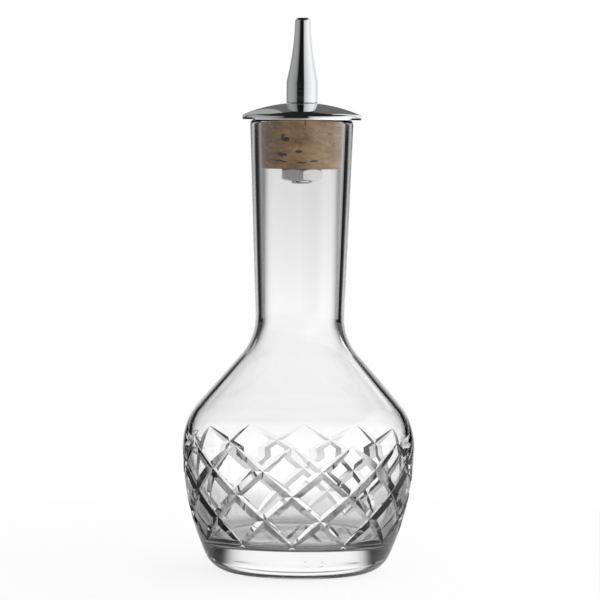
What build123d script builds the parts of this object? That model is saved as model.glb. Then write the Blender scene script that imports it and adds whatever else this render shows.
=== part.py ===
from build123d import *
from math import asin, cos, degrees, pi, radians, sin, sqrt, tan
import os

# A cut-glass bitters bottle with its dasher stopper, in millimetres.
# +Z is up and the origin is the centre of the foot. The photograph looks along +Y.

# Bottle, outside. The wall swells in one long curve from the heel to the widest point,
# turns over a rounder shoulder, falls in as a cone and sweeps up into a neck that
# widens a little towards the mouth.
bottle_height = 116.8
body_radius = 30.0
body_widest_height = 32.5
wall_curve_radius = 67.0
heel_radius = 7.6
shoulder_radius = 17.7
shoulder_slope_angle = 41.2
neck_sweep_radius = 14.5
neck_flare_angle = 2.1
mouth_radius = 13.35
lip_outer_round = 1.0
lip_inner_round = 0.6
punt_radius = 14.0
punt_depth = 0.5

# Bottle, inside
lip_wall = 2.55
widest_wall = 2.0
shoulder_wall = 1.4
floor_thickness = 8.3
hollow_curve_radius = 55.0
hollow_shoulder_radius = 13.0
hollow_corner_radius = 4.5
bore_sweep_radius = 16.0
bore_flare_angle = 1.26

# Diamond cutting: mitre cuts that lean both ways and cross round the body. Each cut starts
# on the shoulder, falls evenly as it goes round and runs out above the heel.
cut_count = 12
cut_top_height = 35.0
cut_foot_height = 8.4
cut_lean_angle = 62.0
cut_depth = 0.75
cut_point_angle = 125.0
cut_station_count = 5
cut_run_out_share = 0.02

# Cork
cork_length = 12.9
cork_proud = 0.4
cork_clearance = 0.08
cork_foot_chamfer = 0.4
cork_top_chamfer = 0.25
cork_hole_clearance = 0.3

# Thin hexagon nut under the cork, its corners turned off on both faces
nut_across_flats = 10.0
nut_height = 3.2
nut_side_count = 6
nut_face_radius = 4.7
nut_chamfer_angle = 30.0
nut_turn = 38.2

# Domed disc
flange_radius = 15.4
flange_rim_thickness = 0.8
flange_dome_height = 4.02
flange_land_drop = 0.22
flange_rim_round = 0.3
flange_hole_clearance = 0.3

# Spout
spout_length = 22.0
spout_foot_radius = 4.05
spout_foot_length = 5.7
spout_tip_radius = 2.0
spout_hollow_sag = 0.42
spout_tip_round = 1.0
spout_foot_round = 0.3
spout_orifice_radius = 0.9
spout_orifice_length = 6.0
spout_bore_radius = 1.5
shank_radius = 3.0
shank_reach = 0.7
shank_end_chamfer = 0.4
thread_clearance = 0.05

# Flat faces of neighbours that come apart, and how far every cut runs past its piece
seat_gap = 0.05
overrun = 1.0

# Heights and radii that neighbours share
cork_top = bottle_height + cork_proud
cork_foot = cork_top - cork_length
nut_foot = cork_foot - nut_height
flange_foot = cork_top + seat_gap
flange_land = flange_foot + flange_dome_height - flange_land_drop
spout_foot = flange_land + seat_gap
shank_foot = nut_foot - shank_reach
flare_share = tan(radians(neck_flare_angle))
bore_mouth_radius = mouth_radius - lip_wall
bore_seat_radius = bore_mouth_radius - (bottle_height - cork_foot) * flare_share
cork_foot_radius = bore_seat_radius - cork_clearance
cork_top_radius = cork_foot_radius + cork_length * flare_share
nut_turning_radius = nut_across_flats / 2 / cos(pi / nut_side_count) + overrun
nut_turning_rise = (nut_turning_radius - nut_face_radius) * tan(radians(nut_chamfer_angle))

# Turns of the long curves, and where the hollow is widest so that the wall of the
# shoulder comes out as named
wall_turn = degrees(asin(body_widest_height / wall_curve_radius))
hollow_radius = body_radius - widest_wall
hollow_lift = (
    (shoulder_radius - hollow_shoulder_radius) * (1 - cos(radians(shoulder_slope_angle)))
    + widest_wall * cos(radians(shoulder_slope_angle))
    - shoulder_wall
) / sin(radians(shoulder_slope_angle))
hollow_widest_height = body_widest_height + hollow_lift
hollow_turn = degrees(asin((hollow_widest_height - floor_thickness) / hollow_curve_radius))


def curve_centre(height):
    # Centre, as radius and height, of the outside curve that a height of the body lies on
    curve = shoulder_radius if height > body_widest_height else wall_curve_radius
    return curve, body_radius - curve


def body_point(height, angle):
    # A point of the uncut glass at a height and at an angle round the axis
    curve, centre = curve_centre(height)
    radius = centre + sqrt(curve**2 - (height - body_widest_height) ** 2)
    return Vector(radius, 0, height).rotate(Axis.Z, angle)


def body_normal(height, angle):
    # The direction square to the uncut glass at the same place
    curve, centre = curve_centre(height)
    radius = sqrt(curve**2 - (height - body_widest_height) ** 2)
    return Vector(radius, 0, height - body_widest_height).rotate(Axis.Z, angle).normalized()


def cut_place(share):
    # Height and angle of a place along one cut, from 0 at its top to 1 at its foot
    height = cut_top_height + (cut_foot_height - cut_top_height) * share
    return height, cut_lean_angle * share


def cut_plane(share):
    # The plane square to the cut at a share of its length, its origin at the root of the V.
    # The root lies at one depth for most of the length and comes up quickly at both ends.
    depth = cut_depth * (1 - (2 * share - 1) ** 4)
    ahead = body_point(*cut_place(share + cut_run_out_share))
    behind = body_point(*cut_place(share - cut_run_out_share))
    normal = body_normal(*cut_place(share))
    root = body_point(*cut_place(share)) - normal * depth
    return Plane(root, x_dir=normal, z_dir=ahead - behind)


cutter_height = cut_depth + overrun
cutter_half_width = cutter_height * tan(radians(cut_point_angle / 2))
cut_reach_share = 1 + 2 * cut_run_out_share
cut_shares = [
    cut_reach_share * station / cut_station_count - cut_run_out_share
    for station in range(cut_station_count + 1)
]

with BuildPart() as mitre_cutter:
    for share in cut_shares:
        with BuildSketch(cut_plane(share)):
            with BuildLine():
                Polyline(
                    (0, 0),
                    (cutter_height, cutter_half_width),
                    (cutter_height, -cutter_half_width),
                    close=True,
                )
            make_face()
    loft()
right_cutter = mitre_cutter.part
left_cutter = right_cutter.mirror(Plane.XZ)

with BuildPart() as glass_bottle:
    # Outside of the glass, turned about the axis
    with BuildSketch(Plane.XZ) as outside:
        with BuildLine():
            wall = JernArc((body_radius, body_widest_height), (0, -1), wall_curve_radius, -wall_turn)
            shoulder = JernArc((body_radius, body_widest_height), (0, 1), shoulder_radius, shoulder_slope_angle)
            neck_guide = PolarLine(
                (mouth_radius, bottle_height), bottle_height, -90 - neck_flare_angle, mode=Mode.PRIVATE
            )
            cone = IntersectingLine(shoulder @ 1, shoulder % 1, neck_guide)
            Line(cone @ 1, (mouth_radius, bottle_height))
            Polyline((mouth_radius, bottle_height), (0, bottle_height), (0, 0), wall @ 1)
        make_face()
        fillet(outside.vertices().sort_by_distance(wall @ 1)[0], heel_radius)
        fillet(outside.vertices().sort_by_distance(cone @ 1)[0], neck_sweep_radius)
    revolve(axis=Axis.Z)

    # Inside of the glass: a tapered seat for the cork, a bore that narrows down the neck,
    # a hollow that follows the shoulder and a thick floor
    with BuildSketch(Plane.XZ) as inside:
        with BuildLine():
            hollow_wall = JernArc(
                (hollow_radius, hollow_widest_height), (0, -1), hollow_curve_radius, -hollow_turn
            )
            hollow_shoulder = JernArc(
                (hollow_radius, hollow_widest_height), (0, 1), hollow_shoulder_radius, shoulder_slope_angle
            )
            bore_guide = PolarLine(
                (bore_seat_radius, cork_foot), cork_foot, -90 - bore_flare_angle, mode=Mode.PRIVATE
            )
            hollow_cone = IntersectingLine(hollow_shoulder @ 1, hollow_shoulder % 1, bore_guide)
            Polyline(
                hollow_cone @ 1,
                (bore_seat_radius, cork_foot),
                (bore_mouth_radius, bottle_height),
                (0, bottle_height),
                (0, floor_thickness),
                hollow_wall @ 1,
            )
        make_face()
        fillet(inside.vertices().sort_by_distance(hollow_wall @ 1)[0], hollow_corner_radius)
        fillet(inside.vertices().sort_by_distance(hollow_cone @ 1)[0], bore_sweep_radius)
    revolve(axis=Axis.Z, mode=Mode.SUBTRACT)

    # Punt: the shallow dish under the foot
    with BuildSketch(Plane.XZ):
        with BuildLine():
            dish = SagittaArc((-punt_radius, 0), (punt_radius, 0), punt_depth)
            Line(dish @ 1, dish @ 0)
        make_face()
        split(bisect_by=Plane.YZ)
    revolve(axis=Axis.Z, mode=Mode.SUBTRACT)

    # Fire-polished lip
    lip_edges = glass_bottle.edges().group_by(Axis.Z)[-1].sort_by(SortBy.RADIUS)
    fillet(lip_edges[-1], lip_outer_round)
    fillet(lip_edges[0], lip_inner_round)

    # The crossing mitre cuts leave a row of diamonds standing between them
    for cutter in (right_cutter, left_cutter):
        with PolarLocations(0, cut_count):
            add(cutter, mode=Mode.SUBTRACT)
glass_bottle.part.label = "glass_bottle"

with BuildPart() as cork_stopper:
    # The cork tapers with its seat and stands a little proud of the lip
    with BuildSketch(Plane.XZ):
        with BuildLine():
            Polyline(
                (0, cork_foot),
                (cork_foot_radius, cork_foot),
                (cork_top_radius, cork_top),
                (0, cork_top),
                close=True,
            )
        make_face()
    revolve(axis=Axis.Z)
    chamfer(cork_stopper.edges().group_by(Axis.Z)[0], cork_foot_chamfer)
    chamfer(cork_stopper.edges().group_by(Axis.Z)[-1], cork_top_chamfer)
    # Hole for the shank
    with BuildSketch(Plane.XY.offset(cork_foot - overrun)):
        Circle(shank_radius + cork_hole_clearance)
    extrude(amount=cork_length + 2 * overrun, mode=Mode.SUBTRACT)
cork_stopper.part.label = "cork_stopper"

with BuildPart() as stem_nut:
    with BuildSketch(Plane.XY.offset(nut_foot)):
        RegularPolygon(nut_across_flats / 2, nut_side_count, major_radius=False, rotation=nut_turn)
    extrude(amount=nut_height)
    # Corners turned off by a cone on each face
    with BuildSketch(Plane.XZ):
        with BuildLine():
            Polyline(
                (0, nut_foot),
                (nut_face_radius, nut_foot),
                (nut_turning_radius, nut_foot + nut_turning_rise),
                (nut_turning_radius, cork_foot - nut_turning_rise),
                (nut_face_radius, cork_foot),
                (0, cork_foot),
                close=True,
            )
        make_face()
    revolve(axis=Axis.Z, mode=Mode.INTERSECT)
    # Threaded hole, drawn as a plain bore
    with BuildSketch(Plane.XY.offset(nut_foot - overrun)):
        Circle(shank_radius + thread_clearance)
    extrude(amount=nut_height + 2 * overrun, mode=Mode.SUBTRACT)
stem_nut.part.label = "stem_nut"

with BuildPart() as cap_flange:
    # Domed disc
    with BuildSketch(Plane.XZ):
        with BuildLine():
            dome = SagittaArc(
                (-flange_radius, flange_foot + flange_rim_thickness),
                (flange_radius, flange_foot + flange_rim_thickness),
                flange_dome_height - flange_rim_thickness,
            )
            Polyline(dome @ 1, (flange_radius, flange_foot), (-flange_radius, flange_foot), dome @ 0)
        make_face()
        split(bisect_by=Plane.YZ)
    revolve(axis=Axis.Z)
    rim_edges = cap_flange.edges().filter_by(GeomType.CIRCLE).sort_by(SortBy.RADIUS)[-2:]
    fillet(rim_edges, flange_rim_round)
    # Crown ground flat for the spout to stand on
    with BuildSketch(Plane.XY.offset(flange_land)):
        Circle(flange_radius)
    extrude(amount=overrun, mode=Mode.SUBTRACT)
    # Hole that the shank passes through
    with BuildSketch(Plane.XY.offset(flange_foot - overrun)):
        Circle(shank_radius + flange_hole_clearance)
    extrude(amount=flange_dome_height + 2 * overrun, mode=Mode.SUBTRACT)
cap_flange.part.label = "cap_flange"

with BuildPart() as spout:
    # Straight foot, then a taper that hollows in towards the tip
    with BuildSketch(Plane.XZ):
        with BuildLine():
            taper = SagittaArc(
                (spout_foot_radius, spout_foot + spout_foot_length),
                (spout_tip_radius, spout_foot + spout_length),
                spout_hollow_sag,
            )
            Polyline(
                taper @ 1,
                (0, spout_foot + spout_length),
                (0, spout_foot),
                (spout_foot_radius, spout_foot),
                taper @ 0,
            )
        make_face()
    revolve(axis=Axis.Z)
    fillet(spout.edges().group_by(Axis.Z)[-1], spout_tip_round)
    fillet(spout.edges().group_by(Axis.Z)[0], spout_foot_round)
    # Shank, drawn plain where the real one is threaded
    with BuildSketch(Plane.XY.offset(shank_foot)):
        Circle(shank_radius)
    extrude(amount=spout_foot - shank_foot + spout_foot_length)
    chamfer(spout.edges().group_by(Axis.Z)[0], shank_end_chamfer)
    # Bore up the shank, then the small orifice that lets out one dash at a time
    with BuildSketch(Plane.XY.offset(shank_foot - overrun)):
        Circle(spout_bore_radius)
    extrude(
        amount=spout_foot + spout_length - spout_orifice_length - shank_foot + overrun, mode=Mode.SUBTRACT
    )
    with BuildSketch(Plane.XY.offset(spout_foot)):
        Circle(spout_orifice_radius)
    extrude(amount=spout_length + overrun, mode=Mode.SUBTRACT)
spout.part.label = "spout"

os.makedirs("parts", exist_ok=True)
export_step(glass_bottle.part, "parts/glass_bottle.step")
export_step(cork_stopper.part, "parts/cork_stopper.step")
export_step(stem_nut.part, "parts/stem_nut.step")
export_step(cap_flange.part, "parts/cap_flange.step")
export_step(spout.part, "parts/spout.step")

print("height", spout.part.bounding_box().max.Z)
print("glass volume", glass_bottle.part.volume)
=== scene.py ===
# %% [markdown]
# # A cut-glass bitters bottle with a dasher stopper
# The bottle is clear crystal glass, turned to one outline, with a band of diamonds cut into its
# body. A cork closes it. Through the cork goes the threaded shank of a slim spout that lets the
# bitters out by the dash, with a domed disc above the cork and a hexagon nut below it. The solids
# were drawn before this script and come in as a frame. Here each of them gets a finer form and a
# real finish, and stays exactly where it is.

# %% Start
import bmesh
import bpy
import random
from math import acos, asin, atan2, ceil, cos, degrees, hypot, pi, radians, sin, sqrt, tan
from mathutils import Matrix, Quaternion, Vector


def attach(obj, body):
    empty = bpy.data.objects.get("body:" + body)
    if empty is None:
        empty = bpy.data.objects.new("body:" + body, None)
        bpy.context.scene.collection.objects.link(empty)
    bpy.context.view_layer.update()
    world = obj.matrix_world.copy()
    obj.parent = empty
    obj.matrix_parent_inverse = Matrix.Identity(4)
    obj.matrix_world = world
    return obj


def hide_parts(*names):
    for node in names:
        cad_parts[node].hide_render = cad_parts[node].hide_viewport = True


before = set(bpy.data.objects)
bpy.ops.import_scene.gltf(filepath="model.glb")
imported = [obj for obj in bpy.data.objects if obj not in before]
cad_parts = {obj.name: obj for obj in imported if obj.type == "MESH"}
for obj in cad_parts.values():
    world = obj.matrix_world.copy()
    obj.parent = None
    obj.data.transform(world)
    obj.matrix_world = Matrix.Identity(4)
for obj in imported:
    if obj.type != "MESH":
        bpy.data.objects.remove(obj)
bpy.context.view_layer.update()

# %% [markdown]
# ## The camera
# The photograph was taken from far off with a long lens, almost level with the top of the
# bottle, so its sides hardly converge. The camera stands a few degrees to the right of the
# place where the pattern is symmetrical, and leans over by half a degree, as the photograph does.

# %% Camera
mm = 0.001
camera_distance = 880 * mm
camera_height = 119.7 * mm
aim_height = 70.3 * mm
camera_turn = radians(3.0)
camera_roll = radians(0.60)
lens_length = 204.4
film_width = 36.0

camera_place = Vector(
    (camera_distance * sin(camera_turn), -camera_distance * cos(camera_turn), camera_height)
)
bpy.ops.object.camera_add(location=camera_place)
camera = bpy.context.object
camera.name = "photo_camera"
camera.data.lens = lens_length
camera.data.sensor_width = film_width
camera.data.clip_start = 10 * mm
looking = Vector((0, 0, aim_height)) - camera_place
camera.rotation_mode = "QUATERNION"
camera.rotation_quaternion = looking.to_track_quat("-Z", "Y") @ Quaternion((0, 0, 1), camera_roll)
bpy.context.scene.camera = camera
print("camera at", camera.location)

# %% [markdown]
# ## A pen for outlines
# Every piece of this bottle was turned or moulded round one axis, so each is an outline that is
# spun. By hand, the outline would be one vertex that is extruded from corner to corner. This pen
# does the same: a straight run is an extrude, and an arc is a spin of the last vertex about the
# centre of the arc, so that it is a true circle. An arc leaves in the direction that the pen
# already has, which keeps the outline smooth where it should be.

# %% Pen
arc_step = radians(1.5)
shortest_edge = 0.15


class Pen:
    """Draws an outline in the XZ plane, in millimetres, as edges of a new mesh"""

    def __init__(self, x, z, heading=0):
        self.x, self.z, self.heading = x, z, radians(heading)
        bpy.ops.object.select_all(action="DESELECT")
        bpy.ops.mesh.primitive_plane_add(size=mm)
        bpy.ops.object.mode_set(mode="EDIT")
        bpy.ops.mesh.merge(type="CENTER")
        bpy.ops.transform.translate(value=(x * mm, 0, z * mm))

    def line_to(self, x, z):
        if hypot(x - self.x, z - self.z) > arc_step * mm:
            run = ((x - self.x) * mm, 0, (z - self.z) * mm)
            bpy.ops.mesh.extrude_region_move(TRANSFORM_OT_translate={"value": run})
            self.heading = atan2(z - self.z, x - self.x)
        self.x, self.z = x, z

    def arc_to(self, x, z):
        chord = hypot(x - self.x, z - self.z)
        lean = atan2(z - self.z, x - self.x) - self.heading
        turn = 2 * ((lean + pi) % (2 * pi) - pi)
        radius = chord / (2 * sin(turn / 2))
        centre = (
            (self.x - radius * sin(self.heading)) * mm, 0, (self.z + radius * cos(self.heading)) * mm
        )
        steps = min(ceil(abs(turn) / arc_step), ceil(abs(turn * radius) / shortest_edge))
        side = 1 if turn > 0 else -1
        bpy.ops.mesh.spin(steps=max(steps, 2), angle=abs(turn), center=centre, axis=(0, side, 0))
        self.x, self.z, self.heading = x, z, self.heading + turn

    def corner(self, x, z, radius, toward):
        """A run towards a corner, which is rounded on the way to the next point"""
        before = Vector((self.x - x, self.z - z)).normalized()
        after = Vector((toward[0] - x, toward[1] - z)).normalized()
        reach = radius / tan(acos(before.dot(after)) / 2)
        self.line_to(x + before.x * reach, z + before.y * reach)
        self.heading = atan2(-before.y, -before.x)
        self.arc_to(x + after.x * reach, z + after.y * reach)


merge_distance = 0.001 * mm


def turn_on_axis(name, rounds):
    """Spins the outline in the pen's mesh once round Z and closes it"""
    bpy.ops.mesh.select_all(action="SELECT")
    bpy.ops.mesh.spin(steps=rounds, angle=2 * pi, center=(0, 0, 0), axis=(0, 0, 1))
    bpy.ops.mesh.select_all(action="SELECT")
    bpy.ops.mesh.remove_doubles(threshold=merge_distance)
    bpy.ops.mesh.dissolve_degenerate(threshold=merge_distance / 10)
    bpy.ops.mesh.normals_make_consistent(inside=False)
    bpy.ops.object.mode_set(mode="OBJECT")
    piece = bpy.context.object
    piece.name = name
    piece.data.name = name
    return piece


def report(piece):
    """Prints a piece's size and how many faces it has"""
    faces = piece.data.polygons
    corners = [Vector(c) / mm for c in piece.bound_box]
    print(piece.name, "faces", len(faces), "from", corners[0][:], "to", corners[6][:])


print("an arc turns by at most", degrees(arc_step), "degrees a step")

# %% [markdown]
# ## The glass
# The outside and the inside of the bottle are one closed outline: from the dish under the foot,
# up the wall, over the shoulder and up the neck, over the lip, and down the bore into the hollow
# and its thick floor. Spun once, it is a solid of glass with a real wall, and a wall is what
# makes the dark line down each side of a real neck.

# %% Glass outline
bottle_height = 116.8
body_radius = 30.0
body_widest_height = 32.5
wall_curve_radius = 67.0
heel_radius = 7.6
shoulder_radius = 17.7
shoulder_slope = radians(41.2)
neck_sweep_radius = 14.5
neck_flare = radians(2.1)
mouth_radius = 13.35
lip_outer_round = 1.0
lip_inner_round = 0.6
punt_radius = 14.0
punt_depth = 0.5
lip_wall = 2.55
widest_wall = 2.0
shoulder_wall = 1.4
floor_thickness = 8.3
hollow_curve_radius = 55.0
hollow_shoulder_radius = 13.0
hollow_corner_radius = 4.5
bore_sweep_radius = 16.0
bore_flare = radians(1.26)
cork_foot = 104.3

bore_mouth_radius = mouth_radius - lip_wall
bore_seat_radius = bore_mouth_radius - (bottle_height - cork_foot) * tan(neck_flare)
hollow_radius = body_radius - widest_wall
hollow_widest_height = body_widest_height + (
    (shoulder_radius - hollow_shoulder_radius) * (1 - cos(shoulder_slope))
    + widest_wall * cos(shoulder_slope) - shoulder_wall
) / sin(shoulder_slope)


def foot_of_wall(widest, height, curve, floor, rounding):
    """Where a floor leaves for its corner, and where that corner meets the curved wall"""
    drop = height - floor - rounding
    lean = asin(drop / (curve - rounding))
    start = widest - curve + sqrt((curve - rounding) ** 2 - drop**2)
    return start, (widest - curve + curve * cos(lean), height - curve * sin(lean))


def end_of_shoulder(widest, height, curve):
    return widest - curve * (1 - cos(shoulder_slope)), height + curve * sin(shoulder_slope)


def foot_of_neck(shoulder_end, neck_radius, neck_height, flare):
    """Where the cone of the shoulder would meet the line of the neck"""
    slope = tan(shoulder_slope)
    rise = shoulder_end[0] + shoulder_end[1] * slope - neck_radius + neck_height * tan(flare)
    height = rise / (slope + tan(flare))
    return neck_radius - (neck_height - height) * tan(flare), height


heel_start, heel_end = foot_of_wall(
    body_radius, body_widest_height, wall_curve_radius, 0, heel_radius
)
shoulder_end = end_of_shoulder(body_radius, body_widest_height, shoulder_radius)
neck_foot = foot_of_neck(shoulder_end, mouth_radius, bottle_height, neck_flare)
floor_end, hollow_wall_foot = foot_of_wall(
    hollow_radius, hollow_widest_height, hollow_curve_radius, floor_thickness, hollow_corner_radius
)
hollow_shoulder_end = end_of_shoulder(hollow_radius, hollow_widest_height, hollow_shoulder_radius)
bore_foot = foot_of_neck(hollow_shoulder_end, bore_seat_radius, cork_foot, bore_flare)
print("the cone of the shoulder meets the neck at", neck_foot, "and inside at", bore_foot)

# %% Glass turned
glass_rounds = 288

pen = Pen(0, punt_depth)
pen.arc_to(punt_radius, 0)
pen.line_to(heel_start, 0)
pen.arc_to(*heel_end)
pen.arc_to(body_radius, body_widest_height)
pen.arc_to(*shoulder_end)
pen.corner(*neck_foot, neck_sweep_radius, toward=(mouth_radius, bottle_height))
pen.corner(mouth_radius, bottle_height, lip_outer_round, toward=(bore_mouth_radius, bottle_height))
pen.corner(bore_mouth_radius, bottle_height, lip_inner_round, toward=(bore_seat_radius, cork_foot))
pen.line_to(bore_seat_radius, cork_foot)
pen.corner(*bore_foot, bore_sweep_radius, toward=hollow_shoulder_end)
pen.line_to(*hollow_shoulder_end)
pen.arc_to(hollow_radius, hollow_widest_height)
pen.arc_to(*hollow_wall_foot)
pen.arc_to(floor_end, floor_thickness)
pen.line_to(0, floor_thickness)
bottle_glass = turn_on_axis("bottle_glass", glass_rounds)
report(bottle_glass)

# %% [markdown]
# ## The diamond cutting
# The pattern is two sets of twelve mitre cuts that lean against each other. A cutter holds the
# glass to a wheel with a pointed rim and turns it, so every cut is a V that keeps its depth along
# the wall and comes up to nothing at both ends. Here the path of the wheel is a wedge: a triangle
# that is extruded from place to place along the cut, and turned on the way to stay square to the
# wall. It is copied round the body every thirty degrees and taken out of the glass with a Boolean.
# The other set is its mirror image.

# %% Line of one cut
cut_count = 12
cut_top_height = 35.0
cut_foot_height = 8.4
cut_lean = radians(62.0)
cut_depth = 0.75
cut_point = radians(125.0)
cut_overrun = 1.0
cut_run_out = 0.02


def on_wall(share):
    """The place on the uncut wall at a share of a cut's length, and the direction out of the wall"""
    height = cut_top_height + (cut_foot_height - cut_top_height) * share
    turn = Matrix.Rotation(cut_lean * share, 3, "Z")
    curve = shoulder_radius if height > body_widest_height else wall_curve_radius
    reach = sqrt(curve**2 - (height - body_widest_height) ** 2)
    outward = Vector((reach, 0, height - body_widest_height)).normalized()
    return turn @ Vector((body_radius - curve + reach, 0, height)), turn @ outward


def wheel_place(share):
    """Where the pointed rim of the wheel stands at a share of a cut's length, as a matrix"""
    place, outward = on_wall(share)
    along = (on_wall(share + cut_run_out)[0] - on_wall(share - cut_run_out)[0]).normalized()
    across = along.cross(outward).normalized()
    root = place - outward * cut_depth * (1 - (2 * share - 1) ** 4)
    axes = Matrix((across.cross(along), across, along)).transposed().to_4x4()
    return Matrix.Translation(root * mm) @ axes


print("a cut falls from", on_wall(0)[0][:], "to", on_wall(1)[0][:])

# %% Path of the wheel
cutter_steps = 44
cutter_height = cut_depth + cut_overrun
cutter_half_width = cutter_height * tan(cut_point / 2)

pen = Pen(0, 0)
pen.line_to(cutter_height, cutter_half_width)
pen.line_to(cutter_height, -cutter_half_width)
pen.line_to(0, 0)
bpy.ops.mesh.select_all(action="SELECT")
bpy.ops.mesh.remove_doubles(threshold=merge_distance)
bpy.ops.mesh.edge_face_add()
wheel_path = bpy.context.object
shares = [
    (1 + 2 * cut_run_out) * step / cutter_steps - cut_run_out for step in range(cutter_steps + 1)
]
upright = Matrix.Rotation(radians(-90), 4, "X")
wedge = bmesh.from_edit_mesh(wheel_path.data)
bmesh.ops.transform(wedge, matrix=wheel_place(shares[0]) @ upright, verts=wedge.verts)
for share, next_share in zip(shares, shares[1:]):
    bpy.ops.mesh.extrude_region_move()
    wedge = bmesh.from_edit_mesh(wheel_path.data)
    end = [corner for corner in wedge.verts if corner.select]
    onward = wheel_place(next_share) @ wheel_place(share).inverted()
    bmesh.ops.transform(wedge, matrix=onward, verts=end)
    bmesh.update_edit_mesh(wheel_path.data)
bpy.ops.mesh.select_all(action="SELECT")
bpy.ops.mesh.normals_make_consistent(inside=False)
bpy.ops.object.mode_set(mode="OBJECT")
report(wheel_path)

# %% Both sets of cuts


def join_copies(pattern, places):
    """Copies of a pattern, each with its own mesh and place, joined to one object"""
    copies = []
    for place in places:
        copy = pattern.copy()
        copy.data = pattern.data.copy()
        copy.data.transform(place)
        bpy.context.collection.objects.link(copy)
        copies.append(copy)
    bpy.ops.object.select_all(action="DESELECT")
    for copy in copies:
        copy.select_set(True)
    bpy.context.view_layer.objects.active = copies[0]
    bpy.ops.object.join()
    return copies[0]


def combine(piece, tool, operation, tool_overlaps=False):
    """A Boolean of a piece with a tool, applied, after which the tool is thrown away"""
    bpy.ops.object.select_all(action="DESELECT")
    piece.select_set(True)
    bpy.context.view_layer.objects.active = piece
    bpy.ops.object.modifier_add(type="BOOLEAN")
    boolean = piece.modifiers[-1]
    boolean.operation = operation
    boolean.solver = "EXACT"
    boolean.use_self = tool_overlaps
    boolean.object = tool
    bpy.ops.object.modifier_apply(modifier=boolean.name)
    bpy.data.objects.remove(tool)


def face_outwards(piece):
    bpy.ops.object.select_all(action="DESELECT")
    bpy.context.view_layer.objects.active = piece
    piece.select_set(True)
    bpy.ops.object.mode_set(mode="EDIT")
    bpy.ops.mesh.select_all(action="SELECT")
    bpy.ops.mesh.normals_make_consistent(inside=False)
    bpy.ops.object.mode_set(mode="OBJECT")


for side in (1, -1):
    mirror = Matrix.Scale(side, 4, (0, 1, 0))
    turns = [Matrix.Rotation(number * 2 * pi / cut_count, 4, "Z") for number in range(cut_count)]
    cuts = join_copies(wheel_path, [turn @ mirror for turn in turns])
    face_outwards(cuts)
    combine(bottle_glass, cuts, "DIFFERENCE")
bpy.data.objects.remove(wheel_path)
print(2 * cut_count, "cuts are taken out of the glass")

# %% [markdown]
# Where two faces meet at a small angle the surface is one polished curve, and where they meet at
# a large angle it is a crisp edge of a cut. Smoothing by angle keeps the two apart.

# %% Smooth glass
crisp_edge = radians(16)


def smooth(piece, angle):
    bpy.ops.object.select_all(action="DESELECT")
    piece.select_set(True)
    bpy.context.view_layer.objects.active = piece
    bpy.ops.object.shade_smooth_by_angle(angle=angle)


smooth(bottle_glass, crisp_edge)
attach(bottle_glass, "bottle")
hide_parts("glass_bottle")
report(bottle_glass)

# %% [markdown]
# ## The metal top
# The spout was turned from brass and the disc pressed from it, and both were polished and
# chrome-plated. Chrome shows nothing but its surroundings, so the form has to be exact: the
# smallest wave in it would bend every reflection. Both are spun as finely as the glass. The disc
# is a shallow dome with a flat land on its crown for the spout to stand on and a hole for the
# shank. Its rim is rolled down over the lip of the glass, which hides the lip and leaves no sharp
# edge: only the roll hangs lower than the flat underside that lies on the cork.

# %% Disc
metal_rounds = 192
cork_length = 12.9
cork_top = cork_foot + cork_length
seat_gap = 0.05
shank_radius = 3.0
hole_clearance = 0.3
flange_foot = cork_top + seat_gap
flange_radius = 15.4
flange_rim_thickness = 0.8
flange_dome_height = 4.02
flange_land_drop = 0.22
flange_hole_radius = shank_radius + hole_clearance
roll_upper_round = 0.9
roll_lower_round = 0.3
roll_clearance = 0.03
roll_foot = bottle_height + roll_clearance
roll_inner_radius = 14.3

dome_rise = flange_dome_height - flange_rim_thickness
dome_radius = (flange_radius**2 + dome_rise**2) / (2 * dome_rise)
dome_centre_height = flange_foot + flange_dome_height - dome_radius
land_height = flange_foot + flange_dome_height - flange_land_drop
land_radius = sqrt(dome_radius**2 - (land_height - dome_centre_height) ** 2)
roll_lean = asin((flange_radius - roll_upper_round) / (dome_radius - roll_upper_round))
roll_widest_height = dome_centre_height + (dome_radius - roll_upper_round) * cos(roll_lean)

pen = Pen(flange_hole_radius, flange_foot)
pen.line_to(flange_hole_radius, land_height)
pen.line_to(land_radius, land_height)
pen.heading = -asin(land_radius / dome_radius)
pen.arc_to(dome_radius * sin(roll_lean), dome_centre_height + dome_radius * cos(roll_lean))
pen.arc_to(flange_radius, roll_widest_height)
pen.corner(flange_radius, roll_foot, roll_lower_round, toward=(roll_inner_radius, roll_foot))
pen.corner(roll_inner_radius, roll_foot, roll_lower_round, toward=(roll_inner_radius, flange_foot))
pen.line_to(roll_inner_radius, flange_foot)
pen.line_to(flange_hole_radius, flange_foot)
disc = turn_on_axis("domed_disc", metal_rounds)
smooth(disc, crisp_edge)
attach(disc, "cap")
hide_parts("cap_flange")
report(disc)

# %% [markdown]
# The spout and its shank are one turned bar, bored through: wide up the shank, and narrow near
# the tip, so that it lets out one dash at a time. Its foot is a straight cylinder, and the taper
# above it hollows in a little.

# %% Spout
spout_length = 22.0
spout_foot = land_height + seat_gap
spout_top = spout_foot + spout_length
spout_foot_radius = 4.05
spout_foot_length = 5.7
spout_tip_radius = 2.0
spout_tip_round = 1.0
spout_foot_round = 0.3
spout_hollow_sag = 0.42
orifice_radius = 0.9
orifice_length = 6.0
bore_radius = 1.5
nut_height = 3.2
shank_reach = 0.7
shank_foot = cork_foot - nut_height - shank_reach
shank_chamfer = 0.4

taper_foot = (spout_foot_radius, spout_foot + spout_foot_length)
taper_chord = hypot(spout_foot_radius - spout_tip_radius, spout_top - taper_foot[1])
taper_lean = atan2(spout_top - taper_foot[1], spout_tip_radius - spout_foot_radius)
taper_bow = 2 * atan2(2 * spout_hollow_sag, taper_chord)
tip_heading = taper_lean - taper_bow + pi
tip_toward = (spout_tip_radius + cos(tip_heading), spout_top + sin(tip_heading))

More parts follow.
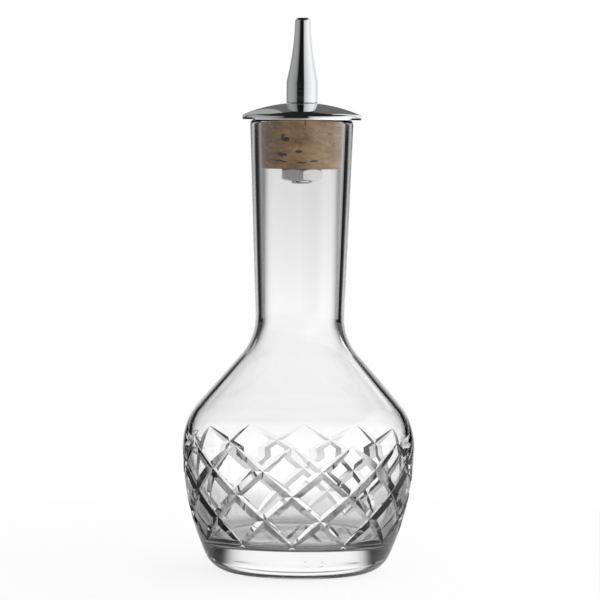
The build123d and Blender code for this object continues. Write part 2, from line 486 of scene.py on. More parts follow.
pen = Pen(orifice_radius, spout_top - orifice_length)
pen.line_to(orifice_radius, spout_top)
pen.corner(spout_tip_radius, spout_top, spout_tip_round, toward=tip_toward)
pen.arc_to(*taper_foot)
pen.corner(spout_foot_radius, spout_foot, spout_foot_round, toward=(shank_radius, spout_foot))
pen.line_to(shank_radius, spout_foot)
pen.line_to(shank_radius, shank_foot + shank_chamfer)
pen.line_to(shank_radius - shank_chamfer, shank_foot)
pen.line_to(bore_radius, shank_foot)
pen.line_to(bore_radius, spout_top - orifice_length)
pen.line_to(orifice_radius, spout_top - orifice_length)
spout = turn_on_axis("pouring_spout", metal_rounds)
report(spout)

# %% [markdown]
# The shank carries an M6 thread of one millimetre pitch, cut with a die. The die's tooth is drawn
# in section, the Screw modifier carries it up the shank, and a Boolean takes the groove out. Only
# its last turn shows, below the nut.

# %% Thread
thread_pitch = 1.0
thread_depth = 0.55
thread_root = 0.06
thread_angle = radians(60)
thread_lead = 1.3
thread_start = shank_foot - thread_lead
thread_turns = 19
thread_steps = 48
tooth_overrun = 0.2
tooth_reach = shank_radius + tooth_overrun
tooth_half = thread_root + (tooth_overrun + thread_depth) * tan(thread_angle / 2)

pen = Pen(shank_radius - thread_depth, thread_start - thread_root)
pen.line_to(tooth_reach, thread_start - tooth_half)
pen.line_to(tooth_reach, thread_start + tooth_half)
pen.line_to(shank_radius - thread_depth, thread_start + thread_root)
pen.line_to(shank_radius - thread_depth, thread_start - thread_root)
bpy.ops.mesh.select_all(action="SELECT")
bpy.ops.mesh.remove_doubles(threshold=merge_distance)
bpy.ops.object.mode_set(mode="OBJECT")
tooth_path = bpy.context.object
bpy.ops.object.modifier_add(type="SCREW")
screw = tooth_path.modifiers[-1]
screw.screw_offset = thread_pitch * mm
screw.iterations = thread_turns
screw.steps = thread_steps
screw.render_steps = thread_steps
bpy.ops.object.modifier_apply(modifier=screw.name)
bpy.ops.object.mode_set(mode="EDIT")
bpy.ops.mesh.select_all(action="SELECT")
bpy.ops.mesh.fill_holes(sides=4)
bpy.ops.object.mode_set(mode="OBJECT")
face_outwards(tooth_path)
combine(spout, tooth_path, "DIFFERENCE")
foot_crease = radians(8)
smooth(spout, foot_crease)
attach(spout, "dasher")
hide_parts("spout")
report(spout)

# %% [markdown]
# ## The nut
# It is a thin hexagon nut, ten millimetres across flats. A real one is sawn from hexagon bar and
# then turned, and the turning takes its corners off in a cone on both faces, which leaves the
# curved edges that show below the cork. So it is made here: a hexagonal bar with slightly rounded
# corners, and a turned blank with its cones, hole and countersinks, and what both share is the nut.

# %% Nut
nut_top = cork_foot
nut_foot = nut_top - nut_height
nut_across_flats = 10.0
nut_sides = 6
nut_turn = radians(38.2)
nut_corner_round = 0.12
nut_face_radius = 4.7
nut_cone = radians(30)
thread_clearance = 0.05
nut_hole_radius = shank_radius + thread_clearance
nut_countersink = 0.35
nut_corner_radius = nut_across_flats / 2 / cos(pi / nut_sides)
first_corner = radians(90)
bar_spare = 1.0
blank_spare = 0.5
upright_share = 0.9

bpy.ops.object.select_all(action="DESELECT")
bpy.ops.mesh.primitive_cylinder_add(
    vertices=nut_sides, radius=nut_corner_radius * mm, depth=(nut_height + bar_spare) * mm,
    location=(0, 0, (nut_foot + nut_height / 2) * mm), rotation=(0, 0, nut_turn - first_corner),
)
nut = bpy.context.object
nut.name = "hexagon_nut"
nut.data.name = "hexagon_nut"
bpy.ops.object.transform_apply(location=True, rotation=True, scale=True)
bpy.ops.object.mode_set(mode="EDIT")
bpy.ops.mesh.select_all(action="DESELECT")
bar = bmesh.from_edit_mesh(nut.data)
for edge in bar.edges:
    run = (edge.verts[0].co - edge.verts[1].co).normalized()
    edge.select_set(abs(run.z) > upright_share)
bmesh.update_edit_mesh(nut.data)
bpy.ops.mesh.bevel(offset=nut_corner_round * mm, segments=3)
bpy.ops.object.mode_set(mode="OBJECT")

blank_radius = nut_corner_radius + blank_spare
cone_rise = (blank_radius - nut_face_radius) * tan(nut_cone)
pen = Pen(nut_hole_radius, nut_foot + nut_countersink)
pen.line_to(nut_hole_radius + nut_countersink, nut_foot)
pen.line_to(nut_face_radius, nut_foot)
pen.line_to(blank_radius, nut_foot + cone_rise)
pen.line_to(blank_radius, nut_top - cone_rise)
pen.line_to(nut_face_radius, nut_top)
pen.line_to(nut_hole_radius + nut_countersink, nut_top)
pen.line_to(nut_hole_radius, nut_top - nut_countersink)
pen.line_to(nut_hole_radius, nut_foot + nut_countersink)
blank = turn_on_axis("turned_blank", metal_rounds)
combine(nut, blank, "INTERSECT")
smooth(nut, crisp_edge)
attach(nut, "stopper")
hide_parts("stem_nut")
report(nut)

# %% [markdown]
# ## The cork
# Natural cork is punched from bark and ground to its taper, and it is crossed by lenticels, the
# breathing pores of the bark. They show as dark pits and short streaks that lie level round the
# stopper. The stopper is turned like the rest. The pits are small balls, stretched along the
# grain and roughened, that a Boolean presses into it; their near-black lining comes from the tool,
# and is partly brown dust and partly painted shade of the hollows. The largest are set where the
# photographed cork has them and the others are scattered.

# %% Cork stopper
cork_clearance = 0.08
cork_foot_radius = bore_seat_radius - cork_clearance
cork_top_radius = cork_foot_radius + (cork_top - cork_foot) * tan(neck_flare)
cork_foot_chamfer = 0.4
cork_top_chamfer = 0.25
cork_hole_radius = shank_radius + hole_clearance
cork_rounds = 144

pen = Pen(cork_hole_radius, cork_foot)
pen.line_to(cork_foot_radius - cork_foot_chamfer, cork_foot)
pen.line_to(cork_foot_radius + cork_foot_chamfer * tan(neck_flare), cork_foot + cork_foot_chamfer)
pen.line_to(cork_top_radius - cork_top_chamfer * tan(neck_flare), cork_top - cork_top_chamfer)
pen.line_to(cork_top_radius - cork_top_chamfer, cork_top)
pen.line_to(cork_hole_radius, cork_top)
pen.line_to(cork_hole_radius, cork_foot)
stopper = turn_on_axis("natural_cork", cork_rounds)
report(stopper)

# %% Lenticels
front = camera_turn - radians(90)
pit_tilt = 9
pit_roughness = 0.13
pit_heights = (0.8, 12.2)
chance = random.Random(7)


def scatter(count, turns, heights, lengths, talls, depths):
    """Random pits, each of whose five values lies between a least and a greatest one"""
    ranges = (turns, heights, lengths, talls, depths)
    return [tuple(chance.uniform(*span) for span in ranges) for number in range(count)]


# degrees to the right of the front, height above the foot of the cork, length, height, depth
seen_pits = [
    (-21, 7.6, 2.0, 1.3, 0.55), (-25, 8.2, 1.0, 1.8, 0.45), (-28, 3.8, 2.3, 1.0, 0.6),
    (-23, 3.7, 1.6, 0.7, 0.4), (-32, 2.2, 2.4, 0.5, 0.45), (-24, 1.9, 2.2, 0.45, 0.4),
    (-4, 4.5, 1.9, 0.65, 0.45), (0, 1.7, 2.6, 0.5, 0.4), (17, 2.1, 2.3, 0.6, 0.2),
    (-60, 9.6, 1.3, 0.6, 0.3), (-74, 7.0, 2.2, 0.7, 0.3), (-70, 2.2, 2.2, 0.6, 0.3),
    (-37, 10.6, 0.6, 0.4, 0.3), (43, 11.6, 1.5, 0.3, 0.2), (38, 9.1, 1.2, 0.35, 0.25),
    (44, 6.0, 1.2, 0.3, 0.25), (72, 5.5, 1.6, 0.5, 0.25), (65, 3.1, 1.4, 0.5, 0.25),
]
far_pits = scatter(46, (85, 275), pit_heights, (0.5, 2.0), (0.25, 0.6), (0.15, 0.4))
fine_pits = scatter(40, (-85, 85), pit_heights, (0.25, 0.6), (0.15, 0.3), (0.1, 0.2))

bpy.ops.object.select_all(action="DESELECT")
bpy.ops.mesh.primitive_ico_sphere_add(subdivisions=2, radius=0.5 * mm, location=(0, 0, 0))
ball = bpy.context.object
places = []
for turn, height, length, tall, deep in seen_pits + far_pits + fine_pits:
    radius = cork_foot_radius + height * tan(neck_flare)
    places.append(
        Matrix.Rotation(front + radians(turn), 4, "Z")
        @ Matrix.Translation((radius * mm, 0, (cork_foot + height) * mm))
        @ Matrix.Rotation(radians(chance.uniform(-pit_tilt, pit_tilt)), 4, "X")
        @ Matrix.Diagonal((2 * deep, length, tall, 1))
    )
pits = join_copies(ball, places)
bpy.data.objects.remove(ball)
bpy.ops.object.mode_set(mode="EDIT")
bpy.ops.mesh.select_all(action="SELECT")
bpy.ops.transform.vertex_random(offset=pit_roughness * mm, seed=3)
bpy.ops.mesh.normals_make_consistent(inside=False)
bpy.ops.object.mode_set(mode="OBJECT")
print(len(places), "pits with", len(pits.data.polygons), "faces")

# %% [markdown]
# ## Finishes
# One small function adds a shader node with its settings and links. Colours are written as sRGB
# hex values, the way a paint chart gives them, and one function turns them to the linear values
# that Blender works with.

# %% Node tool


def add_node(tree, kind, settings, inputs):
    """Adds a node, sets its properties, and fills or links its inputs"""
    node = tree.nodes.new(kind)
    for name, value in settings.items():
        setattr(node, name, value)
    for name, value in inputs.items():
        if isinstance(value, bpy.types.NodeSocket):
            tree.links.new(value, node.inputs[name])
        else:
            node.inputs[name].default_value = value
    return node


def colour(code):
    """A hex colour such as C0A080 as a linear colour"""
    shares = [int(code[place:place + 2], 16) / 255 for place in (0, 2, 4)]
    return tuple(
        share / 12.92 if share <= 0.04045 else ((share + 0.055) / 1.055) ** 2.4 for share in shares
    ) + (1.0,)


def ramp(tree, factor, stops):
    """A colour ramp from pairs of place and linear colour"""
    node = add_node(tree, "ShaderNodeValToRGB", {}, {"Fac": factor})
    while len(node.color_ramp.elements) > 1:
        node.color_ramp.elements.remove(node.color_ramp.elements[-1])
    for number, (place, tone) in enumerate(stops):
        if number:
            element = node.color_ramp.elements.new(place)
        else:
            element = node.color_ramp.elements[0]
            element.position = place
        element.color = tone
    return node.outputs["Color"]


def grey(level):
    return (level, level, level, 1.0)


def new_material(name):
    material = bpy.data.materials.new(name)
    material.use_nodes = True
    material.node_tree.nodes.clear()
    return material, material.node_tree


def close(tree, shader):
    add_node(tree, "ShaderNodeOutputMaterial", {}, {"Surface": shader})


def dress(piece, *materials):
    piece.data.materials.clear()
    for material in materials:
        piece.data.materials.append(material)


print("a hex colour comes out as", colour("C0A080"))

# %% [markdown]
# ### Crystal glass
# Clear glass, blown into a mould, fire-polished, and polished again after cutting. It has no
# colour of its own, an index of refraction of about 1.52, and a surface so smooth that only the
# shape shows. Two small things give it away as a real one: very long, faint ripples left by the
# mould, and a scuffed ring under the foot, where it has slid over a bar.

# %% Glass finish
ripple_length = 9.0
ripple_depth = 0.004
scuff_height = 0.12

glass, tree = new_material("polished_crystal_glass")
place = add_node(tree, "ShaderNodeTexCoord", {}, {})
ripple = add_node(tree, "ShaderNodeTexNoise", {}, {
    "Vector": place.outputs["Object"], "Scale": 1 / (ripple_length * mm), "Detail": 1.0,
})
bump = add_node(tree, "ShaderNodeBump", {}, {
    "Height": ripple.outputs["Fac"], "Strength": 1.0, "Distance": ripple_depth * mm,
})
apart = add_node(tree, "ShaderNodeSeparateXYZ", {}, {"Vector": place.outputs["Object"]})
scuff = add_node(tree, "ShaderNodeMapRange", {}, {
    "Value": apart.outputs["Z"], "From Min": 0.0, "From Max": scuff_height * mm,
    "To Min": 0.22, "To Max": 0.0,
})
shader = add_node(tree, "ShaderNodeBsdfPrincipled", {}, {
    "Base Color": colour("FFFFFF"), "Roughness": scuff.outputs["Result"], "IOR": 1.52,
    "Transmission Weight": 1.0, "Normal": bump.outputs["Normal"],
})
close(tree, shader.outputs["BSDF"])
dress(bottle_glass, glass)
print("ripples", ripple_length, "mm long and", ripple_depth, "mm deep")

# %% [markdown]
# ### Chrome plate
# Bright chromium over polished brass. It is a mirror, a little darker and bluer than silver. A
# bar tool is wiped many times a day, so the mirror carries a faint haze of fine wipe marks,
# which run round it and show as slightly softer patches.

# %% Chrome finish
wipe_width = 0.35
wipe_length = 6.0

chrome, tree = new_material("polished_chrome_plate")
place = add_node(tree, "ShaderNodeTexCoord", {}, {})
stretch = add_node(tree, "ShaderNodeMapping", {}, {
    "Vector": place.outputs["Object"],
    "Scale": (1 / (wipe_length * mm), 1 / (wipe_length * mm), 1 / (wipe_width * mm)),
})
wipes = add_node(tree, "ShaderNodeTexNoise", {}, {
    "Vector": stretch.outputs["Vector"], "Scale": 1.0, "Detail": 3.0, "Roughness": 0.6,
})
haze = add_node(tree, "ShaderNodeMapRange", {}, {
    "Value": wipes.outputs["Fac"], "From Min": 0.35, "From Max": 0.75, "To Min": 0.015, "To Max": 0.07,
})
shader = add_node(tree, "ShaderNodeBsdfPrincipled", {}, {
    "Base Color": colour("E6E7E8"), "Metallic": 1.0, "Roughness": haze.outputs["Result"],
})
close(tree, shader.outputs["BSDF"])
for piece in (disc, spout):
    dress(piece, chrome)
print("wipe marks", wipe_width, "mm wide")

# %% [markdown]
# ### Plated steel
# The nut is steel with a thin bright plate of nickel. It was turned and sawn, not polished, so
# it is duller and darker than the chrome, and its flats keep a fine grain from the saw and the
# barrel that it was tumbled in.

# %% Nut finish
grain_width = 0.12

plated_steel, tree = new_material("bright_plated_steel")
place = add_node(tree, "ShaderNodeTexCoord", {}, {})
grain = add_node(tree, "ShaderNodeTexNoise", {}, {
    "Vector": place.outputs["Object"], "Scale": 1 / (grain_width * mm), "Detail": 2.0,
})
dull = add_node(tree, "ShaderNodeMapRange", {}, {
    "Value": grain.outputs["Fac"], "From Min": 0.3, "From Max": 0.7, "To Min": 0.12, "To Max": 0.24,
})
tint = ramp(tree, grain.outputs["Fac"], ((0.35, colour("B9B9B7")), (0.65, colour("D2D2D0"))))
bump = add_node(tree, "ShaderNodeBump", {}, {
    "Height": grain.outputs["Fac"], "Strength": 0.25, "Distance": 0.004 * mm,
})
shader = add_node(tree, "ShaderNodeBsdfPrincipled", {}, {
    "Base Color": tint, "Metallic": 1.0, "Roughness": dull.outputs["Result"],
    "Normal": bump.outputs["Normal"],
})
close(tree, shader.outputs["BSDF"])
dress(nut, plated_steel)
print("grain", grain_width, "mm")

# %% [markdown]
# ### Cork
# Cork is a foam of cells about 0.04 mm wide, too fine to see one by one, so it is matt and warm
# brown. What does show is the bark's growth: soft bands of lighter and darker brown a few
# millimetres wide, a mottle under a millimetre across, and fine dark specks. The mottle is drawn
# a little coarser than it really is, so that it shows. The lenticels are lined with near-black
# brown, which is partly dust and partly painted shade of the pits.

# %% Cork finish
band_width = 4.0
mottle_width = 0.7
speck_width = 0.45
speck_spacing = 1.1

cork, tree = new_material("natural_cork_ground_smooth")
place = add_node(tree, "ShaderNodeTexCoord", {}, {})
level = add_node(tree, "ShaderNodeMapping", {}, {
    "Vector": place.outputs["Object"], "Scale": (0.6, 0.6, 1.3),
})
bands = add_node(tree, "ShaderNodeTexNoise", {}, {
    "Vector": level.outputs["Vector"], "Scale": 1 / (band_width * mm), "Detail": 3.0,
    "Roughness": 0.6, "Distortion": 0.4,
})
mottle = add_node(tree, "ShaderNodeTexNoise", {}, {
    "Vector": level.outputs["Vector"], "Scale": 1 / (mottle_width * mm), "Detail": 4.0,
    "Roughness": 0.65,
})
band_tone = ramp(tree, bands.outputs["Fac"], (
    (0.30, colour("7C592B")), (0.48, colour("9A743E")), (0.70, colour("B8935C")),
))
mottle_tone = ramp(tree, mottle.outputs["Fac"], (
    (0.28, grey(0.55)), (0.50, grey(0.95)), (0.72, grey(1.15)),
))
brown = add_node(tree, "ShaderNodeMix", {"data_type": "RGBA", "blend_type": "MULTIPLY"}, {
    0: 1.0, 6: band_tone, 7: mottle_tone,
})
cells = add_node(tree, "ShaderNodeTexVoronoi", {}, {
    "Vector": level.outputs["Vector"], "Scale": 1 / (speck_spacing * mm), "Randomness": 1.0,
})
speck = add_node(tree, "ShaderNodeMapRange", {}, {
    "Value": cells.outputs["Distance"], "From Min": 0.08, "From Max": speck_width / speck_spacing / 2,
    "To Min": 0.75, "To Max": 0.0,
})
tone = add_node(tree, "ShaderNodeMix", {"data_type": "RGBA"}, {
    0: speck.outputs["Result"], 6: brown.outputs[2], 7: colour("6B4A2E"),
})
bump = add_node(tree, "ShaderNodeBump", {}, {
    "Height": mottle.outputs["Fac"], "Strength": 0.4, "Distance": 0.05 * mm,
})
shader = add_node(tree, "ShaderNodeBsdfPrincipled", {}, {
    "Base Color": tone.outputs[2], "Roughness": 0.85, "Specular IOR Level": 0.2,
    "Normal": bump.outputs["Normal"],
})
close(tree, shader.outputs["BSDF"])

# The near-black lining of the pits is partly brown dust and partly painted shade of their hollows.
pit_dust_and_shade, tree = new_material("lenticel_dust_and_painted_shade")
place = add_node(tree, "ShaderNodeTexCoord", {}, {})
dust_and_shade_noise = add_node(tree, "ShaderNodeTexNoise", {}, {
    "Vector": place.outputs["Object"], "Scale": 1 / (0.4 * mm), "Detail": 3.0,
})
dust_and_shade_tone = ramp(tree, dust_and_shade_noise.outputs["Fac"], ((0.3, colour("0E0906")), (0.7, colour("2C1D12"))))
shader = add_node(tree, "ShaderNodeBsdfPrincipled", {}, {
    "Base Color": dust_and_shade_tone, "Roughness": 0.95, "Specular IOR Level": 0.1,
})
close(tree, shader.outputs["BSDF"])

dress(stopper, cork, pit_dust_and_shade)
dress(pits, cork, pit_dust_and_shade)
for face in pits.data.polygons:
    face.material_index = 1
combine(stopper, pits, "DIFFERENCE", tool_overlaps=True)
smooth(stopper, crisp_edge)
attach(stopper, "stopper")
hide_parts("cork_stopper")
report(stopper)
print(sum(face.material_index == 1 for face in stopper.data.polygons), "faces line the pits")

# %% [markdown]
# ## The studio
# Clear glass is photographed by what stands behind it. Here that is a glowing card close behind
# the bottle, with dark room to both sides of it: the card fills the glass with white, and the
# dark gets into the thick edges and draws them. Above the card the backdrop is dim, which is what
# makes the dome of the disc grey. The camera sees plain white instead of all this.
#
# The table is a white gloss board. Through the glass it is seen in a darker copy of its white near
# the bottle, which is painted shade, and glowing farther out, behind and in front, which is painted
# light, as if it turned up into a lit sweep.

# %% Table
table_radius = 170 * mm
table_drop = 0.05 * mm
board_glow = 1.1
board_glow_share = 0.75
sweep_start = 75 * mm
sweep_end = 125 * mm
sweep_lead = 50 * mm

bpy.ops.object.select_all(action="DESELECT")
bpy.ops.mesh.primitive_circle_add(
    vertices=128, radius=table_radius, fill_type="NGON", location=(0, 0, 0)
)
table = bpy.context.object
table.name = "white_table"
table.data.transform(Matrix.Translation((0, 0, -table_drop)))
table_white, tree = new_material("white_gloss_board")
paths = add_node(tree, "ShaderNodeLightPath", {}, {})
matt = add_node(tree, "ShaderNodeBsdfDiffuse", {}, {"Color": colour("E7E7E7")})
glow = add_node(tree, "ShaderNodeEmission", {}, {"Color": grey(1.0), "Strength": board_glow})
seen = add_node(tree, "ShaderNodeMixShader", {}, {
    "Fac": board_glow_share, 1: matt.outputs[0], 2: glow.outputs[0],
})
gloss = add_node(tree, "ShaderNodeBsdfGlossy", {}, {"Color": grey(0.85), "Roughness": 0.02})
grazing = add_node(tree, "ShaderNodeLayerWeight", {}, {"Blend": 0.5})
sheen = add_node(tree, "ShaderNodeMath", {"operation": "POWER"}, {0: grazing.outputs["Facing"], 1: 1.5})
# Seen through the glass, the board takes a darker copy of its white: painted shade, under real gloss.
shaded = add_node(tree, "ShaderNodeBsdfDiffuse", {}, {"Color": colour("C6C6C6")})
gloss_and_painted_shade = add_node(tree, "ShaderNodeMixShader", {}, {
    "Fac": sheen.outputs[0], 1: shaded.outputs[0], 2: gloss.outputs[0],
})
place = add_node(tree, "ShaderNodeTexCoord", {}, {})
apart = add_node(tree, "ShaderNodeSeparateXYZ", {}, {"Vector": place.outputs["Object"]})
frontward = add_node(tree, "ShaderNodeMath", {"operation": "SUBTRACT"}, {
    0: sweep_lead, 1: apart.outputs["Y"],
})
outward = add_node(tree, "ShaderNodeMath", {"operation": "MAXIMUM"}, {
    0: apart.outputs["Y"], 1: frontward.outputs[0],
})
# Farther out, the board seen through the glass glows: painted light of a lit sweep.
far = add_node(tree, "ShaderNodeMapRange", {"interpolation_type": "SMOOTHSTEP"}, {
    "Value": outward.outputs[0], "From Min": sweep_start, "From Max": sweep_end,
    "To Min": 0.0, "To Max": 1.0,
})
through_glass = add_node(tree, "ShaderNodeMixShader", {}, {
    "Fac": far.outputs["Result"], 1: gloss_and_painted_shade.outputs[0], 2: glow.outputs[0],
})
lit = add_node(tree, "ShaderNodeMixShader", {}, {
    "Fac": paths.outputs["Is Transmission Ray"], 1: matt.outputs[0], 2: through_glass.outputs[0],
})
board = add_node(tree, "ShaderNodeMixShader", {}, {
    "Fac": paths.outputs["Is Camera Ray"], 1: lit.outputs[0], 2: seen.outputs[0],
})
close(tree, board.outputs[0])
dress(table, table_white)
print("the table is", 2 * table_radius / mm, "mm across")

# %% [markdown]
# Each card is a plane that stands across the view. It is hidden from the camera, and gives no
# light to matt surfaces, so the cork is lit by the room alone. The white card is no even white:
# it falls off to both sides and towards the top, which is what shades the neck from top to foot.
# Light that is mirrored twice or more on its way counts for less here. That is a trick of this
# studio and no property of glass: the share was found by trying values against the photograph.

# %% Cards
card_distance = 160 * mm
thrown_share = 0.3


def few_turns(tree):
    """One for light that was mirrored once at most, and less for light that was mirrored more"""
    paths = add_node(tree, "ShaderNodeLightPath", {}, {})
    return add_node(tree, "ShaderNodeMapRange", {}, {
        "Value": paths.outputs["Glossy Depth"], "From Min": 1.0, "From Max": 2.0,
        "To Min": 1.0, "To Max": thrown_share,
    }).outputs["Result"]


def stand_card(name, left, right, foot, top, strength):
    """A glowing card behind the bottle; strength gets the tree and returns a level or a socket"""
    bpy.ops.object.select_all(action="DESELECT")
    bpy.ops.mesh.primitive_plane_add(size=1, location=(0, 0, 0))
    card = bpy.context.object
    card.name = name
    middle = ((left + right) / 2 * mm, card_distance, (foot + top) / 2 * mm)
    card.data.transform(
        Matrix.Translation(middle) @ Matrix.Rotation(radians(90), 4, "X")
        @ Matrix.Diagonal(((right - left) * mm, (top - foot) * mm, 1, 1))
    )
    material, tree = new_material(name + "_glow")
    glow = add_node(tree, "ShaderNodeEmission", {}, {"Color": grey(1.0), "Strength": strength(tree)})
    close(tree, glow.outputs[0])
    dress(card, material)
    card.visible_camera = False
    card.visible_diffuse = False
    card.visible_shadow = False


card_middle = -11.0
card_half_foot = 98.0
card_half_slope = 0.27
card_edge = 6.0
card_top = 118.0
card_side = 150.0
dim_side = 34.0
dim_top = 262.0
dim_mirrored = 0.16
dim_through_glass = 0.75
left_level = 0.42
right_level = 1.0
card_tones = (
    (0, 1.12), (8, 1.06), (18, 0.97), (30, 0.99), (43, 1.03), (50, 1.01), (56, 0.965), (63, 0.945),
    (69, 0.885), (76, 0.825), (82, 0.775), (89, 0.72), (95, 0.69), (105, 0.65), (118, 0.60),
)


def white_card(tree):
    """Bright right across and dark within a few degrees at both sides, a little narrower higher up"""
    place = add_node(tree, "ShaderNodeTexCoord", {}, {})
    apart = add_node(tree, "ShaderNodeSeparateXYZ", {}, {"Vector": place.outputs["Object"]})
    sideways = add_node(tree, "ShaderNodeMath", {"operation": "SUBTRACT"}, {
        0: apart.outputs["X"], 1: card_middle * mm,
    })
    reach = add_node(tree, "ShaderNodeMath", {"operation": "MULTIPLY_ADD"}, {
        0: apart.outputs["Z"], 1: -card_half_slope, 2: card_half_foot * mm,
    })
    share = add_node(tree, "ShaderNodeMath", {"operation": "DIVIDE"}, {
        0: sideways.outputs[0], 1: reach.outputs[0],
    })
    size = add_node(tree, "ShaderNodeMath", {"operation": "ABSOLUTE"}, {0: share.outputs[0]})
    steep = add_node(tree, "ShaderNodeMath", {"operation": "POWER"}, {0: size.outputs[0], 1: card_edge})
    fall = add_node(tree, "ShaderNodeMath", {"operation": "MULTIPLY"}, {0: steep.outputs[0], 1: -1.0})
    across = add_node(tree, "ShaderNodeMath", {"operation": "EXPONENT"}, {0: fall.outputs[0]})
    height = add_node(tree, "ShaderNodeMath", {"operation": "DIVIDE"}, {
        0: apart.outputs["Z"], 1: card_top * mm,
    })
    tones = ramp(tree, height.outputs[0], [(at / card_top, grey(tone)) for at, tone in card_tones])
    level = add_node(tree, "ShaderNodeMath", {"operation": "MULTIPLY"}, {0: across.outputs[0], 1: tones})
    return add_node(tree, "ShaderNodeMath", {"operation": "MULTIPLY"}, {
        0: level.outputs[0], 1: few_turns(tree),
    }).outputs[0]


def dim_card(tree):
    """Dim where the dome mirrors it and lighter where it is seen through the glass"""
    paths = add_node(tree, "ShaderNodeLightPath", {}, {})
    return add_node(tree, "ShaderNodeMapRange", {}, {
        "Value": paths.outputs["Transmission Depth"],
        "To Min": dim_mirrored, "To Max": dim_through_glass,
    }).outputs["Result"]


stand_card("white_card", -card_side, card_side, 0, card_top, white_card)
stand_card("dim_card", -dim_side, dim_side, card_top, dim_top, dim_card)
stand_card("left_card", -card_side, -dim_side, card_top, dim_top, lambda tree: left_level)
stand_card("right_card", dim_side, card_side, card_top, dim_top, lambda tree: right_level)
print("cards stand", card_distance / mm, "mm behind the bottle")

# %% [markdown]
# The room is drawn by direction only, from straight behind the bottle, with angles growing to the
# right. What the chrome mirrors is light on both sides and black behind the camera: that black
# is the stripe down the spout. What comes in through the glass is lighter all round, so that the
# bottle is clear from every side. Matt surfaces get soft light that is stronger from the right.
#
# Three bands of height differ. Below the level of the table's edge the mirrored room is dark
# farther round, which keeps the cork brown behind the glass. A little above it the dark is wider
# too, for the corners of the base. And a black flag stands low to the left of the camera, where
# the left flat of the nut mirrors it.

# %% Room
soft_light = 0.85
soft_from_right = 0.85
corner_band = (0.02, 0.25, 0.05)
flag_band = (-0.07, 0.05, 0.03)
table_edge_start = -0.008
table_edge_end = -0.001
ceiling_start = 0.62
ceiling_end = 0.66
ceiling_level = 0.02

world = bpy.data.worlds.new("studio_room")
bpy.context.scene.world = world
world.use_nodes = True
tree = world.node_tree
tree.nodes.clear()
direction = add_node(tree, "ShaderNodeTexCoord", {}, {})
apart = add_node(tree, "ShaderNodeSeparateXYZ", {}, {"Vector": direction.outputs["Generated"]})
azimuth = add_node(tree, "ShaderNodeMath", {"operation": "ARCTAN2"}, {
    0: apart.outputs["X"], 1: apart.outputs["Y"],
})
turned = add_node(tree, "ShaderNodeMath", {"operation": "ADD"}, {0: azimuth.outputs[0], 1: camera_turn})
share = add_node(tree, "ShaderNodeMapRange", {}, {
    "Value": turned.outputs[0], "From Min": -pi, "From Max": pi, "To Min": 0.0, "To Max": 1.0,
})


def all_round(levels):
    """A ramp from pairs of angle, in degrees from straight behind, and brightness"""
    return ramp(tree, share.outputs[0], [(0.5 + angle / 360, grey(level)) for angle, level in levels])


def blend(factor, low, high):
    return add_node(tree, "ShaderNodeMix", {"data_type": "RGBA"}, {0: factor, 6: low, 7: high}).outputs[2]


mirrored = all_round((
    (-180, 0.01), (-144, 0.01), (-140, 0.18), (-125, 0.32), (-108, 0.38), (-90, 0.42), (-60, 0.42),
    (-45, 0.30), (-40, 0.02), (40, 0.02), (45, 0.60), (60, 1.00), (80, 1.15), (101, 1.15), (118, 1.02),
    (135, 0.92), (150, 0.76), (164, 0.54), (168, 0.01),
))
mirrored_low = all_round((
    (-180, 0.22), (-150, 0.22), (-110, 0.45), (-78, 0.60), (-66, 0.01), (66, 0.01), (78, 1.70),
    (120, 1.60), (155, 1.05), (175, 0.28),
))
refracted = all_round((
    (-180, 0.90), (-150, 0.75), (-100, 0.75), (-75, 0.60), (-60, 0.40), (-51, 0.26), (-45, 0.12),
    (-40, 0.02), (40, 0.02), (45, 0.32), (51, 0.42), (60, 0.60), (80, 1.00), (150, 1.00),
))
black_flag = all_round((
    (-180, 0.90), (-165, 0.75), (-148, 0.03), (-126, 0.03), (-109, 0.75), (-100, 0.75), (-75, 0.60),
    (-60, 0.40), (-51, 0.26), (-45, 0.12), (-40, 0.02), (40, 0.02), (45, 0.32), (51, 0.42),
    (60, 0.60), (80, 1.30), (150, 1.25),
))
base_corners = all_round((
    (-180, 0.90), (-150, 0.75), (-100, 0.75), (-78, 0.60), (-66, 0.02),
    (66, 0.02), (72, 0.60), (80, 1.00), (150, 1.00),
))


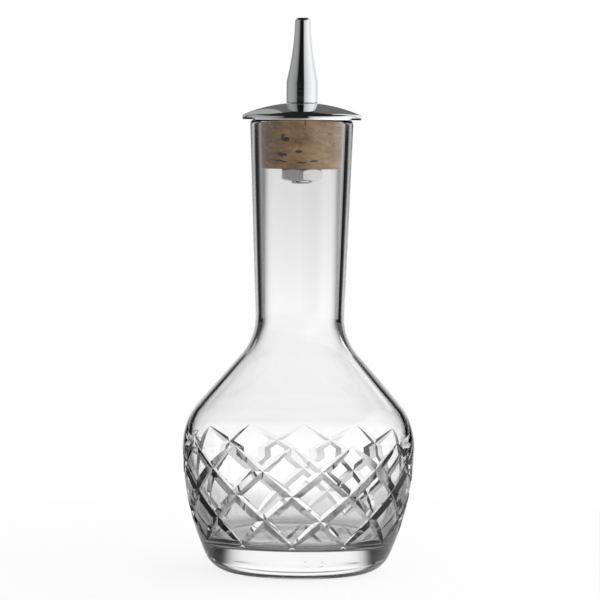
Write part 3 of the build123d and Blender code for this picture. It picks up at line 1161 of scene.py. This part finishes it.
def between(low, high, fade):
    """One for directions between two heights, and nothing outside them"""
    above = add_node(tree, "ShaderNodeMapRange", {"interpolation_type": "SMOOTHSTEP"}, {
        "Value": apart.outputs["Z"], "From Min": low, "From Max": low + fade,
        "To Min": 0.0, "To Max": 1.0,
    })
    below = add_node(tree, "ShaderNodeMapRange", {"interpolation_type": "SMOOTHSTEP"}, {
        "Value": apart.outputs["Z"], "From Min": high - fade, "From Max": high,
        "To Min": 1.0, "To Max": 0.0,
    })
    return add_node(tree, "ShaderNodeMath", {"operation": "MULTIPLY"}, {
        0: above.outputs["Result"], 1: below.outputs["Result"],
    }).outputs[0]


refracted = blend(between(*corner_band), refracted, base_corners)
refracted = blend(between(*flag_band), refracted, black_flag)
refracted = add_node(tree, "ShaderNodeVectorMath", {"operation": "SCALE"}, {
    0: refracted, "Scale": few_turns(tree),
}).outputs[0]
table_edge = add_node(tree, "ShaderNodeMapRange", {}, {
    "Value": apart.outputs["Z"], "From Min": table_edge_start, "From Max": table_edge_end,
    "To Min": 0.0, "To Max": 1.0,
})
ceiling = add_node(tree, "ShaderNodeMapRange", {}, {
    "Value": apart.outputs["Z"], "From Min": ceiling_start, "From Max": ceiling_end,
    "To Min": 0.0, "To Max": 1.0,
})
mirrored = blend(table_edge.outputs["Result"], mirrored_low, mirrored)
mirrored = blend(ceiling.outputs["Result"], mirrored, grey(ceiling_level))
paths = add_node(tree, "ShaderNodeLightPath", {}, {})
through = add_node(tree, "ShaderNodeMath", {"operation": "GREATER_THAN"}, {
    0: paths.outputs["Transmission Depth"], 1: 0.5,
})
matt = add_node(tree, "ShaderNodeMath", {"operation": "GREATER_THAN"}, {
    0: paths.outputs["Diffuse Depth"], 1: 0.5,
})
soft = add_node(tree, "ShaderNodeMath", {"operation": "MULTIPLY_ADD"}, {
    0: apart.outputs["X"], 1: soft_from_right, 2: soft_light,
})
room = blend(through.outputs[0], mirrored, refracted)
room = blend(matt.outputs[0], room, soft.outputs[0])
room = blend(paths.outputs["Is Camera Ray"], room, grey(1.0))
background = add_node(tree, "ShaderNodeBackground", {}, {"Color": room, "Strength": 1.0})
add_node(tree, "ShaderNodeOutputWorld", {}, {"Surface": background.outputs[0]})
print("the room is turned by", degrees(camera_turn), "degrees")

# %% [markdown]
# ## The end
# The solids from model.glb stay in the scene, hidden, beside the finished pieces, and the colours
# are shown with the Standard view transform. The finished pieces may not reach outside the
# solids.

# %% Finish
bpy.context.scene.view_settings.view_transform = "Standard"
